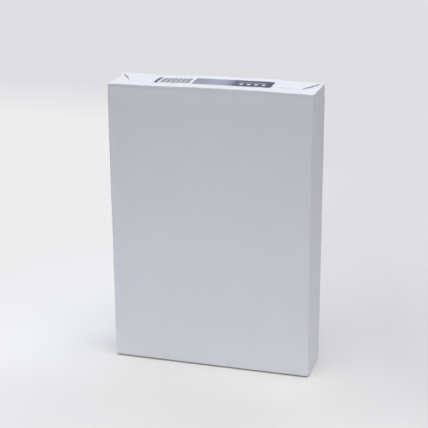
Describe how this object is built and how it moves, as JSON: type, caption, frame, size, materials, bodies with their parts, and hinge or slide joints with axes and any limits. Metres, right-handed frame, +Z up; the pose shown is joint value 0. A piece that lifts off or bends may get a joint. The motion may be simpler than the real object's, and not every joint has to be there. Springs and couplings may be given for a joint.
{
  "type": "ream of paper",
  "caption": "Sealed ream of A4 copy paper in a plain white wrapper, standing on its short end, with folded end flaps and a plain printed label.",
  "frame": {"origin": "middle of the footprint, on the plane that the bottom end's outer flap stands on", "axes": "+Z up along the sheet length, +X across the sheet width, -Y out of the plain front face, +Y towards the lap seam on the back"},
  "size_m": [0.2104, 0.0531, 0.3004],
  "materials": {
    "wrapper": "smooth coated wrapping paper with a faint sheen",
    "label_stock": "coated label paper",
    "navy_print": "satin ink",
    "slate_print": "satin ink",
    "bar_print": "satin ink"
  },
  "bodies": {
    "root": {"wrapped_ream": "wrapper", "end_label": "label_stock", "label_navy_print": "navy_print", "label_slate_print": "slate_print", "label_bars": "bar_print"}
  },
  "joints": []
}
